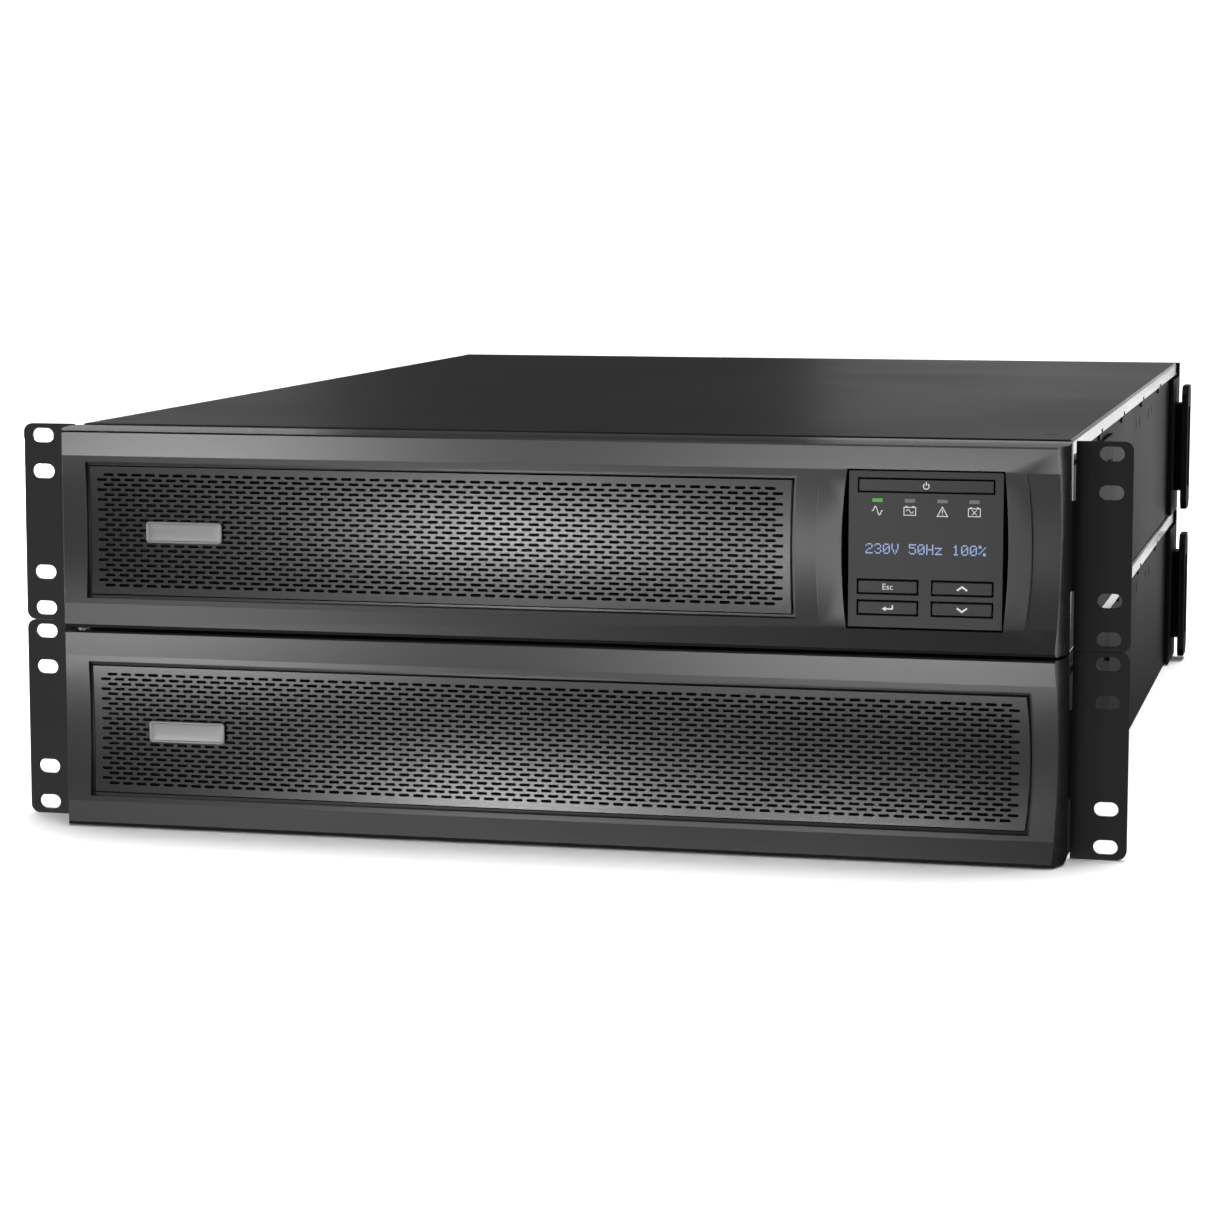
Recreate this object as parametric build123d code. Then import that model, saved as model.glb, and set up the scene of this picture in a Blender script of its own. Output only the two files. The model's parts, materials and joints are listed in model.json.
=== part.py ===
from build123d import *
import math
import os

# Two rack modules, one on the other: a UPS above and its battery module below. Lengths are in millimetres.
# X is across the rack, Y runs front to back from the front plane of the rack ears, Z is up.
EAR_PLANE_Y = -307.35  # where the ears' front plane sits in the finished frame
UNIT_H = 86.5  # one module, two rack units less clearance
REAR_Y = 640.6  # rearmost face
SHEET = 1.2  # folded steel of tray and cover
SIDE_X = 214.6  # outside of the tray walls
TRAY_FRONT, TRAY_REAR = 3.0, 637.0
COVER_X, COVER_FRONT, COVER_REAR = 216.0, 6.0, 631.0
LIP_H = 6.6

EAR_X, EAR_T, EAR_H = 241.3, 2.0, 86.4
EAR_LEG_REAR = 194.0
RACK_X = 232.55  # rack hole line
SLOT_L, SLOT_W = 10.1, 6.1
SLOT_ROWS = (5.2, 21.075, 65.525, 81.4)
RELIEF_H, RELIEF_X = 24.6, 218.0  # the fold is cut away above and below, out to here

BEZEL_X, BEZEL_FACE_X, BEZEL_BACK = 217.0, 213.0, -1.0
BEZEL_WALL = 2.6
FIELD_LOW, FIELD_HIGH = 11.0, 74.7  # the sunk band across the bezel
PANEL_Y, PANEL_T, PANEL_GAP = -22.9, 1.2, 1.4
PANEL_LOW, PANEL_HIGH = 14.6, 70.6

POD_X, POD_Z = (128.1, 191.3), (10.6, 74.7)
POD_FRONT, POD_REAR = -22.9, 30.0
KEY_GAP = 0.7
KEYS = {
    "power": ((131.8, 187.9), (65.8, 71.9)),
    "esc": ((131.7, 157.1), (24.0, 30.4)),
    "enter": ((131.7, 157.1), (15.4, 21.8)),
    "up": ((162.2, 187.7), (24.0, 30.4)),
    "down": ((162.2, 187.7), (15.4, 21.8)),
}
LED_X, LED_Z, LED_SIZE = (139.9, 153.2, 166.5, 179.5), 62.7, (4.2, 1.5)
LCD_X, LCD_Z = (131.0, 188.4), (34.5, 52.5)

BLOCK = (151.0, 94.0, 65.0)  # one sealed 12 V battery block lying down
BAY_UPS = (-207.5, 104.0, 300.0)
BAY_L, BAY_R = (-206.5, -2.0, 478.0), (2.0, 206.5, 478.0)
TRAY_GAP = 1.0

PLATE_Y, PLATE_T = 637.0, 1.6  # rear plate
FAN_X, FAN_Z, FAN_SIZE, FAN_BORE = (-168.0, -100.0), 44.0, 60.0, 28.5
BOARD_Z = 10.0  # underside of the main board

TAB_Y = (141.0, 260.0, 380.0, 498.0)  # stops under the cover's lips
EAR_SCREW_Y, EAR_SCREW_Z = (40.0, 110.0, 175.0), (22.0, 62.0)
SCREW_HOLE_R, SHANK_R = 1.7, 1.5
CLIPS = ((-150.0, 4.0), (150.0, 4.0), (-150.0, 82.5), (150.0, 82.5))
UPS_PANEL = ((-202.2, -202.2), (105.0, 104.2))
BATTERY_PANEL = ((-202.2, -202.2), (202.1, 203.9))
BEZEL_PROFILE = [
    (-25.9, 2.0), (-24.4, FIELD_LOW), (-23.9, 43.0), (-24.1, FIELD_HIGH), (-25.9, 84.8), (-24.8, 85.5),
    (-8.0, 86.2), (BEZEL_BACK, 86.2), (BEZEL_BACK, 0.5), (-24.6, 0.5),
]
BEZEL_HOLLOW = [
    (-21.8, 3.2), (-20.2, FIELD_LOW), (-19.4, 43.0), (-20.2, FIELD_HIGH), (-21.8, 82.6), (-12.0, 83.6),
    (1.0, 83.6), (1.0, 3.2),
]

WING_FRONT = 586.0  # the black wings that wrap round the tray's rear corners
WING_X, WING_GAP = 217.2, 0.4
GRIP_X, GRIP_T = 224.5, 3.7
UPS_CUTS = {
    "inlet": ((160, 192), (46, 74)),
    "breaker": ((130, 144), (52, 66)),
    "socket": ((70, 112), (46, 66)),
    "ports": ((-52, 52), (12, 30)),
    "slot": ((-54, 54), (46, 72)),
}
OUTLETS = [(x, 25.0) for x in (80.0, 116.0, 152.0, 188.0)]
OUTLET_W, OUTLET_H = 30.0, 26.0
JACKS = ((-38, 12.0, 8.5), (-16, 12.0, 8.5), (8, 12.0, 8.5), (34, 8.6, 7.9))
BATTERY_SOCKETS, SOCKET_Z = ((-120, -78), (78, 120)), (40, 60)
REAR_SCREWS = [(x, z) for x in (-205.0, -60.0, 62.0, 205.0) for z in (6.0, 80.0)]
GROUND = (206.0, 60.0)


def block(x, y, z):
    """A box from its three ranges."""
    size = [b - a for a, b in (x, y, z)]
    return Pos(*[(a + b) / 2 for a, b in (x, y, z)]) * Box(*size)


def along_y(sketch, y0, y1):
    """An X-Z outline drawn out from y0 to y1."""
    return Pos(0, y1, 0) * extrude(Plane.XZ * sketch, amount=y1 - y0)


def along_x(sketch, x0, x1):
    """A Y-Z outline drawn out from x0 to x1."""
    return Pos(x0, 0, 0) * extrude(Plane.YZ * sketch, amount=x1 - x0)


def rod_y(x, z, r, y0, y1):
    return Pos(x, (y0 + y1) / 2, z) * Rot(90, 0, 0) * Cylinder(r, y1 - y0)


def rod_x(y, z, r, x0, x1):
    return Pos((x0 + x1) / 2, y, z) * Rot(0, 90, 0) * Cylinder(r, x1 - x0)


def rod_z(x, y, r, z0, z1):
    return Pos(x, y, (z0 + z1) / 2) * Cylinder(r, z1 - z0)


def outline(points):
    return make_face(Polyline(*points, close=True))


def upright(ends, middle, start, stop):
    """A side at x = ends, bowed to x = middle half-way up."""
    if ends == middle:
        return Line((ends, start), (ends, stop))
    return ThreePointArc((ends, start), (middle, (start + stop) / 2), (ends, stop))


def bowed(left, right, low, high):
    """An X-Z outline whose left and right sides may be arcs: each is (x at its ends, x half-way up)."""
    return make_face(
        [
            upright(*left, low, high),
            Line((left[0], high), (right[0], high)),
            upright(*right, high, low),
            Line((right[0], low), (left[0], low)),
        ]
    )


def lift(shape, base):
    return Pos(0, EAR_PLANE_Y, base) * shape


def save(node, shape):
    """Write one node. Several solids are kept apart as one group."""
    if isinstance(shape, (list, tuple)):
        shape = Compound(children=[s for item in shape for s in item.solids()])
    shape.label = node
    export_step(shape, f"parts/{node}.step")


# ---- sheet metal

def side_vents():
    """Pairs of short upright slots through both tray walls."""
    return [
        block((-220, 220), (y - 1.2, y + 1.2), (67.3, 72.3))
        for y in (351.0, 374.0, 433.0, 456.0)
    ]


def lip_tabs():
    """Small stops on the tray walls that the cover's lips rest on."""
    tabs = []
    for y in TAB_Y:
        for x in ((-SIDE_X - 0.9, -SIDE_X), (SIDE_X, SIDE_X + 0.9)):
            tabs.append(block(x, (y - 5, y + 5), (76.6, 79.0)))
    return tabs


def tray(bays, extra_cuts, walls):
    """The folded tray: floor, two sides and a front bulkhead with a mouth for each bay."""
    inner = SIDE_X - SHEET
    body = block((-SIDE_X, SIDE_X), (TRAY_FRONT, TRAY_REAR), (0, UNIT_H - SHEET))
    body -= block((-inner, inner), (TRAY_FRONT + SHEET, TRAY_REAR + 1), (SHEET, UNIT_H))
    for x0, x1, _ in bays:
        body -= block((x0, x1), (0, TRAY_FRONT + SHEET), (4.4, 80.5))
    for cut in side_vents() + extra_cuts + clip_slots():
        body -= cut
    for y in EAR_SCREW_Y:
        for z in EAR_SCREW_Z:
            body -= rod_x(y, z, SCREW_HOLE_R, -SIDE_X - 1, -inner + 1)
            body -= rod_x(y, z, SCREW_HOLE_R, inner - 1, SIDE_X + 1)
    for part in lip_tabs() + walls:
        body += part
    return body


def runners(bay):
    """Low rails on the floor that a cartridge slides along."""
    x0, x1, y1 = bay
    rails = []
    for x in (x0 + 20, (x0 + x1) / 2, x1 - 20):
        rails.append(block((x - 4, x + 4), (TRAY_FRONT + SHEET, y1 - 4), (SHEET, 4.4)))
    return rails


def cover():
    """Top plate with a folded lip down each side, bevelled along the fold."""
    top = UNIT_H
    inner = COVER_X - SHEET
    ends = (COVER_FRONT, COVER_REAR)
    shape = block((-COVER_X, COVER_X), ends, (top - LIP_H, top))
    rear_edges = shape.edges().filter_by(Axis.Z).sort_by(Axis.Y)[-2:]
    shape = fillet(rear_edges, 6.0)
    for s in (-1, 1):
        bevel = outline([(s * COVER_X, top - 1.0), (s * COVER_X, top), (s * (COVER_X - 1.0), top)])
        shape -= along_y(bevel, COVER_FRONT - 1, COVER_REAR + 1)
    shape -= block((-inner, inner), (COVER_FRONT - 1, COVER_REAR + 1), (0, top - SHEET))
    for y in TAB_Y:
        shape -= block((-220, 220), (y - 3.5, y + 3.5), (top - LIP_H - 1, top - LIP_H + 1.6))
    for x, y in ((-4.0, 100.0), (-2.6, 348.0), (-205.9, 34.0), (204.5, 34.0)):
        shape -= block((x - 3.3, x + 3.3), (y - 0.7, y + 0.7), (top - 3, top + 1))
    return shape



def ear(side):
    """A rack ear: slotted flange in front, leg back along the tray, the fold relieved above and below."""
    low, high = (UNIT_H - EAR_H) / 2, (UNIT_H + EAR_H) / 2
    leg = block((SIDE_X, SIDE_X + EAR_T), (0, EAR_LEG_REAR), (low, 76.0))
    flange = block((SIDE_X, EAR_X), (0, EAR_T), (low, high))
    outer = flange.edges().filter_by(Axis.Y).sort_by(Axis.X)[-2:]
    body = leg + fillet(outer, 3.8)
    for z0, z1 in ((low - 1, low + RELIEF_H), (high - RELIEF_H, high + 1)):
        body -= block((SIDE_X - 1, RELIEF_X), (-1, EAR_T + 1), (z0, z1))
    for z in SLOT_ROWS:
        slot = Pos(RACK_X, z) * SlotOverall(SLOT_L, SLOT_W)
        body -= along_y(slot, -1, EAR_T + 1)
    for y in EAR_SCREW_Y:
        for z in EAR_SCREW_Z:
            body -= rod_x(y, z, SCREW_HOLE_R, SIDE_X - 1, SIDE_X + 4)
    return body if side > 0 else mirror(body, about=Plane.YZ)


def ear_screws():
    """Low-head screws that hold both ears to the tray."""
    screws = []
    for s in (-1, 1):
        for y in EAR_SCREW_Y:
            for z in EAR_SCREW_Z:
                outside = sorted((s * (SIDE_X + EAR_T), s * (SIDE_X + EAR_T + 1.8)))
                shank = sorted((s * (SIDE_X - 5), s * (SIDE_X + EAR_T)))
                screws.append(rod_x(y, z, 3.4, *outside) + rod_x(y, z, SHANK_R, *shank))
    return screws


def side_grips():
    """A moulded grip on each side at the rear: a bar held off the wing by a web, with a sunk middle."""
    corners = [(610, 2.4), (627, 2.4), (631, 7), (631, 69.6), (627, 74.2), (610, 74.2), (606, 69.6), (606, 7)]
    grips = []
    for s in (-1, 1):
        grip = along_x(outline(corners), GRIP_X - GRIP_T, GRIP_X)
        grip += block((WING_X, GRIP_X - 1), (612, 630), (13, 63.6))
        grip -= block((GRIP_X - 1.4, GRIP_X + 1), (610, 626), (15, 61.6))
        grips.append(grip if s > 0 else mirror(grip, about=Plane.YZ))
    return grips


# ---- bezel

def sunk_field(pod):
    """What is cut away for the sunk band, which curves back most half-way up. The pod's pillars stay."""
    floor = make_face(
        [
            Line((-40, FIELD_LOW), (-24.3, FIELD_LOW)),
            ThreePointArc((-24.3, FIELD_LOW), (-22.0, 46.0), (-23.5, FIELD_HIGH)),
            Line((-23.5, FIELD_HIGH), (-40, FIELD_HIGH)),
            Line((-40, FIELD_HIGH), (-40, FIELD_LOW)),
        ]
    )
    cut = along_x(floor, -230, 230)
    if pod:
        pillars = bowed((116.9, 114.7), (200.6, 203.1), FIELD_LOW - 1, FIELD_HIGH + 1)
        cut -= along_y(pillars, -50, 0)
    return cut


def grown(edges, by):
    return ((edges[0][0] - by, edges[0][1] - by), (edges[1][0] + by, edges[1][1] + by))


def bezel(panel, pod):
    """A moulded front: flared top and bottom bands, sunk field, openings for the grille and the pod."""
    body = along_x(outline(BEZEL_PROFILE), -BEZEL_X, BEZEL_X)
    body -= along_x(outline(BEZEL_HOLLOW), -BEZEL_X + BEZEL_WALL, BEZEL_X - BEZEL_WALL)
    body -= sunk_field(pod)
    for s in (-1, 1):
        plan = [(BEZEL_FACE_X, -30), (230, -30), (230, -16), (BEZEL_X, -16), (BEZEL_FACE_X, -26.0)]
        body -= extrude(outline([(s * x, y) for x, y in plan]), amount=UNIT_H + 2)
    seat = grown(panel, PANEL_GAP)
    body -= along_y(bowed(*seat, PANEL_LOW - PANEL_GAP, PANEL_HIGH + PANEL_GAP), -30, -5)
    rim = grown(panel, PANEL_GAP + 1.4)
    ledge = along_y(bowed(*rim, PANEL_LOW - PANEL_GAP - 1.4, PANEL_HIGH + PANEL_GAP + 1.4), -20.4, -16.0)
    ledge -= along_y(bowed(*grown(panel, -4.0), PANEL_LOW + 2.6, PANEL_HIGH - 1.6), -30, 0)
    body += ledge
    if pod:
        opening = bowed((127.6, 125.3), (191.9, 193.6), POD_Z[0] - 0.7, POD_Z[1] + 0.7)
        wall = along_y(bowed((125.6, 123.4), (193.8, 195.4), POD_Z[0] - 2.2, POD_Z[1] + 2.2), -21.0, -6.0)
        body += wall
        body -= along_y(opening, -30, 0)
    return body


def grille(panel):
    """The grille panel with a folded edge behind, left unpierced: its slots are too fine for solids."""
    outer = bowed(*panel, PANEL_LOW, PANEL_HIGH)
    plate = along_y(outer, PANEL_Y, -20.4)
    inner = bowed(*grown(panel, -1.4), PANEL_LOW + 1.4, PANEL_HIGH - 1.4)
    return plate - along_y(inner, PANEL_Y + PANEL_T, 0)


def badge():
    """A plain raised plate on the grille."""
    plate = block((-176, -142), (PANEL_Y - 1.0, PANEL_Y), (37.6, 47.0))
    return fillet(plate.edges().filter_by(Axis.Y), 1.5)


def clip_slots():
    return [block((x - 7, x + 7), (2, 6), (z - 1.6, z + 1.4)) for x, z in CLIPS]


def bezel_clips():
    """Snap fingers that hold the bezel in the tray's front."""
    clips = []
    for x, z in CLIPS:
        down = z < UNIT_H / 2
        heights = (3.2, 5.0) if down else (80.5, 83.6)
        foot = block((x - 5, x + 5), (BEZEL_BACK - 5.0, BEZEL_BACK + 0.6), heights)
        finger = block((x - 5, x + 5), (BEZEL_BACK, 6.2), (z - 0.8, z + 0.6))
        clips.append(foot + finger)
    return clips


# ---- display module

def pod_housing():
    """An open-fronted box that carries the panel and the boards and slides in the tray's pocket."""
    (x0, x1), (z0, z1) = POD_X, POD_Z
    body = block((x0, x1), (POD_FRONT + 2.0, POD_REAR), (z0, z1))
    body -= block((x0 + 1.5, x1 - 1.5), (POD_FRONT, POD_REAR - 1.5), (z0 + 1.5, z1 - 1.5))
    return body


def pod_panel():
    """The front plate, with a hole for each key and light and a sunk window."""
    body = block(POD_X, (POD_FRONT, POD_FRONT + 2.0), POD_Z)
    for x, z in KEYS.values():
        body -= block(x, (POD_FRONT - 1, POD_FRONT + 3), z)
    for x in LED_X:
        body -= led_box(x, POD_FRONT - 1, POD_FRONT + 3)
    body -= block(LCD_X, (POD_FRONT + 1.0, POD_FRONT + 3), LCD_Z)
    return body


def pod_lcd():
    x, z = (LCD_X[0] + 0.2, LCD_X[1] - 0.2), (LCD_Z[0] + 0.2, LCD_Z[1] - 0.2)
    return block(x, (POD_FRONT + 1.0, POD_FRONT + 4.5), z)


def led_box(x, y0, y1):
    half_w, half_h = LED_SIZE[0] / 2, LED_SIZE[1] / 2
    return block((x - half_w, x + half_w), (y0, y1), (LED_Z - half_h, LED_Z + half_h))


def key(name):
    """A key cap on a short stem that presses the switch behind it."""
    (x0, x1), (z0, z1) = KEYS[name]
    depths = (POD_FRONT - 0.3, POD_FRONT + 3.4)
    cap = block((x0 + KEY_GAP, x1 - KEY_GAP), depths, (z0 + KEY_GAP, z1 - KEY_GAP))
    xm, zm = (x0 + x1) / 2, (z0 + z1) / 2
    return cap + block((xm - 2, xm + 2), (POD_FRONT + 3.4, POD_FRONT + 5.4), (zm - 1.5, zm + 1.5))


def pod_board():
    """The display's circuit board with its key switches."""
    y = POD_FRONT + 8.6
    board = block((POD_X[0] + 2.0, POD_X[1] - 2.0), (y, y + 1.6), (POD_Z[0] + 2.0, POD_Z[1] - 2.0))
    for x, z in KEYS.values():
        xm, zm = sum(x) / 2, sum(z) / 2
        board += block((xm - 3, xm + 3), (y - 1.8, y), (zm - 2, zm + 2))
    for x in (POD_X[0] + 1.5, POD_X[1] - 1.5 - 4.0):
        board += block((x, x + 4.0), (y + 1.6, y + 6.0), (30, 50))
    return board


# ---- batteries

def battery_tray(bay):
    """A cartridge: open tray with a front plate, a folded pull and two thumb screws."""
    x0, x1, y1 = bay[0] + TRAY_GAP, bay[1] - TRAY_GAP, bay[2] - 6
    body = block((x0, x1), (6.5, y1), (4.5, 74.0))
    body -= block((x0 + 1.5, x1 - 1.5), (8.0, y1 - 1.5), (6.0, 75.0))
    xm = (x0 + x1) / 2
    pull = block((xm - 40, xm + 40), (1.5, 6.5), (48, 54))
    pull -= block((xm - 36, xm + 36), (0, 5.0), (47, 52))
    body += pull
    for s in (-1, 1):
        xs = xm + s * ((x1 - x0) / 2 - 12)
        body += rod_y(xs, 40, 4.5, 1.8, 6.5)
    return body


def battery_blocks(bay, columns, rows, turned):
    """Sealed battery blocks with two terminals each, packed in the tray."""
    w, d = (BLOCK[1], BLOCK[0]) if turned else (BLOCK[0], BLOCK[1])
    x0, y0 = bay[0] + TRAY_GAP + 1.5, 8.0
    gap_x = (bay[1] - bay[0] - 2 * TRAY_GAP - 3.0 - columns * w) / (columns + 1)
    gap_y = (bay[2] - 6 - 1.5 - y0 - rows * d) / (rows + 1)
    cells = []
    for i in range(columns):
        for j in range(rows):
            x, y = x0 + gap_x + i * (w + gap_x), y0 + gap_y + j * (d + gap_y)
            cell = block((x, x + w), (y, y + d), (6.0, 6.0 + BLOCK[2]))
            for dx in (12, w - 18):
                cell += block((x + dx, x + dx + 6), (y + 6, y + 12), (6.0 + BLOCK[2], 8.0 + BLOCK[2]))
            cells.append(cell)
    return cells


# ---- power section

def standoffs(z_top):
    return [rod_z(x, y, 3.0, SHEET, z_top) for x in (-195, 0, 195) for y in (318, 590)]


def main_board():
    board = block((-205, 205), (310, 600), (BOARD_Z, BOARD_Z + 1.6))
    parts = ((-150, 480, 40, 24, 16), (-95, 480, 24, 40, 20), (150, 470, 44, 20, 14), (165, 520, 30, 30, 18))
    for x, y, w, d, h in parts:
        board += block((x, x + w), (y, y + d), (BOARD_Z + 1.6, BOARD_Z + 1.6 + h))
    return board


def transformer():
    """Laminated core with a winding on its middle leg and two feet."""
    z = BOARD_Z + 1.6
    core = block((-185, -85), (330, 400), (z, z + 62))
    winding = block((-170, -100), (320, 410), (z + 8, z + 54))
    return core + winding


def chokes():
    rings = []
    for x, y in ((-150, 440), (-110, 440)):
        ring = rod_z(x, y, 16, BOARD_Z + 1.6, BOARD_Z + 19.6) - rod_z(x, y, 7, BOARD_Z, BOARD_Z + 20)
        rings.append(ring)
    return rings


def capacitors():
    z = BOARD_Z + 1.6
    return [rod_z(x, y, 12, z, z + 45) for x in (110, 138, 166) for y in (340, 368, 396, 424)]


def heat_sinks():
    """Two finned extrusions for the power transistors."""
    z = BOARD_Z + 1.6
    sinks = []
    for x in (-60, 20):
        sink = block((x, x + 60), (335, 555), (z, z + 6))
        for i in range(9):
            fin = x + i * (60 - 1.6) / 8
            sink += block((fin, fin + 1.6), (335, 555), (z + 6, z + 52))
        sinks.append(sink)
    return sinks


def control_card():
    card = block((112, 113.6), (60, 280), (6, 78))
    for y, z, d, h in ((80, 20, 30, 30), (130, 30, 20, 20), (180, 15, 40, 12), (180, 45, 12, 20)):
        card += block((113.6, 119), (y, y + d), (z, z + h))
    for y in (70, 270):
        card += block((106.2, 112), (y - 3, y + 3), (38, 44))
    return card


def fan_frames():
    """Square fan frames, each with struts that carry the motor base."""
    frames = []
    half = FAN_SIZE / 2
    for x in FAN_X:
        frame = block((x - half, x + half), (612, PLATE_Y), (FAN_Z - half, FAN_Z + half))
        frame -= rod_y(x, FAN_Z, FAN_BORE, 611, PLATE_Y + 1)
        frame += block((x - half + 1, x + half - 1), (612, 614.4), (FAN_Z - 1.6, FAN_Z + 1.6))
        frame += block((x - 1.6, x + 1.6), (612, 614.4), (FAN_Z - half + 1, FAN_Z + half - 1))
        frame += rod_y(x, FAN_Z, 12.5, 612, 614.4)
        frame += rod_y(x, FAN_Z, 1.5, 614.4, 624)
        frames.append(frame)
    return frames


def fan_rotor(x):
    """Hub with seven pitched blades, bored for the frame's pin."""
    rotor = rod_y(x, FAN_Z, 13, 615.2, 633) - rod_y(x, FAN_Z, 1.55, 615, 625)
    for i in range(7):
        blade = Pos(19.5, 0, 0) * Rot(38, 0, 0) * Box(16, 1.4, 17)
        rotor += Pos(x, 624, FAN_Z) * Rot(0, i * 360 / 7, 0) * blade
    return rotor & rod_y(x, FAN_Z, 27.4, 615.2, 635)


# ---- rear plate and what it carries

def rear_plate(cuts, vents):
    """Flat rear plate with an opening for each fitting."""
    body = block((-WING_X, WING_X), (PLATE_Y, PLATE_Y + PLATE_T), (0.5, 86.2))
    for x, z in cuts:
        body -= block(x, (630, 645), z)
    for vent in vents:
        body -= vent
    for x, z in REAR_SCREWS + [GROUND]:
        body -= rod_y(x, z, SCREW_HOLE_R, 630, 645)
    return body


def rear_wings():
    """A strip each side that wraps the tray's rear corner from the rear plate forward."""
    wings = []
    for s in (-1, 1):
        wing = block((SIDE_X + WING_GAP, WING_X), (WING_FRONT, PLATE_Y), (0.5, 86.2))
        wing -= block((SIDE_X, WING_X + 1), (WING_FRONT - 1, COVER_REAR + 1), (78.6, 90))
        wings.append(wing if s > 0 else mirror(wing, about=Plane.YZ))
    return wings


def fan_vents():
    """Bars of narrow slots in front of each fan."""
    slots = []
    for x in FAN_X:
        for i in range(-4, 5):
            half = math.sqrt(27.0**2 - (i * 6.0) ** 2)
            z = FAN_Z + i * 6
            slots.append(block((x - half, x + half), (630, 645), (z - 1.4, z + 1.4)))
    return slots


def row_vents():
    return [block((x, x + 3), (630, 645), (24, 62)) for x in range(-60, 61, 8)]


def rear_screws():
    """Pan-head screws round the rear plate, and the larger earthing screw."""
    y = PLATE_Y + PLATE_T
    screws = [rod_y(x, z, 3.2, y, y + 1.8) + rod_y(x, z, SHANK_R, y - 8, y) for x, z in REAR_SCREWS]
    x, z = GROUND
    return screws + [rod_y(x, z, 3.6, y, y + 2.0) + rod_y(x, z, SHANK_R, y - 8, y)]


def in_plate(x, z, depth):
    """A body that fills a cut in the rear plate, with a flange outside."""
    y = PLATE_Y + PLATE_T
    body = block((x[0] + 0.2, x[1] - 0.2), (y - depth, y), (z[0] + 0.2, z[1] - 0.2))
    return body + block((x[0] - 1.5, x[1] + 1.5), (y, REAR_Y), (z[0] - 1.5, z[1] + 1.5))


def ac_inlet():
    """Mains inlet: a shrouded well with three flat blades."""
    x, z = UPS_CUTS["inlet"]
    body = in_plate(x, z, 26)
    body -= block((x[0] + 3, x[1] - 3), (REAR_Y - 18, REAR_Y + 1), (z[0] + 3, z[1] - 3))
    xm, zm = sum(x) / 2, sum(z) / 2
    for dx, dz in ((-8, -4), (8, -4), (0, 5)):
        body += block((xm + dx - 1, xm + dx + 1), (REAR_Y - 18.5, REAR_Y - 5), (zm + dz - 3, zm + dz + 3))
    return body


def outlet_cut(x, z):
    return (x - OUTLET_W / 2, x + OUTLET_W / 2), (z - OUTLET_H / 2, z + OUTLET_H / 2)


def outlets():
    """Flush mains outlets, each with two blade slits and an earth hole."""
    faces = []
    for x, z in OUTLETS:
        body = in_plate(*outlet_cut(x, z), 26)
        for dx in (-6.35, 6.35):
            body -= block((x + dx - 1.1, x + dx + 1.1), (REAR_Y - 16, REAR_Y + 1), (z - 1, z + 7.5))
        body -= rod_y(x, z - 6.5, 2.45, REAR_Y - 16, REAR_Y + 1)
        faces.append(body)
    return faces


def breaker_body():
    x, z = UPS_CUTS["breaker"]
    xm, zm = sum(x) / 2, sum(z) / 2
    return in_plate(x, z, 30) - rod_y(xm, zm, 4.2, REAR_Y - 12, REAR_Y + 1)


def breaker_button():
    x, z = UPS_CUTS["breaker"]
    return rod_y(sum(x) / 2, sum(z) / 2, 4.0, REAR_Y - 9, REAR_Y - 0.1)


def slot_cover():
    """Blank plate over the card slot, with two thumb screws."""
    (x0, x1), (z0, z1) = UPS_CUTS["slot"]
    y = PLATE_Y + PLATE_T
    plate = block((x0 - 4, x1 + 4), (y, y + 1.0), (z0 - 1.5, z1 + 1.5))
    for x in (x0 + 4, x1 - 4):
        plate += rod_y(x, (z0 + z1) / 2, 3.8, y + 1.0, REAR_Y)
    return plate + block((x0 + 0.3, x1 - 0.3), (y - 3, y), (z0 + 0.3, z1 - 0.3))


def data_ports():
    """One block with two network-size jacks, a serial jack and a square jack."""
    x, z = UPS_CUTS["ports"]
    body = in_plate(x, z, 18)
    zm = sum(z) / 2
    for xm, w, h in JACKS:
        body -= block((xm - w / 2, xm + w / 2), (REAR_Y - 12, REAR_Y + 1), (zm - h / 2, zm + h / 2))
    return body


def battery_socket(x, z):
    """Two-pole battery connector with a deep well for each pole."""
    body = in_plate(x, z, 30)
    xm, zm = sum(x) / 2, sum(z) / 2
    for dx in (-10, 10):
        body -= block((xm + dx - 7, xm + dx + 7), (REAR_Y - 16, REAR_Y + 1), (zm - 6, zm + 6))
    return body


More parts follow.
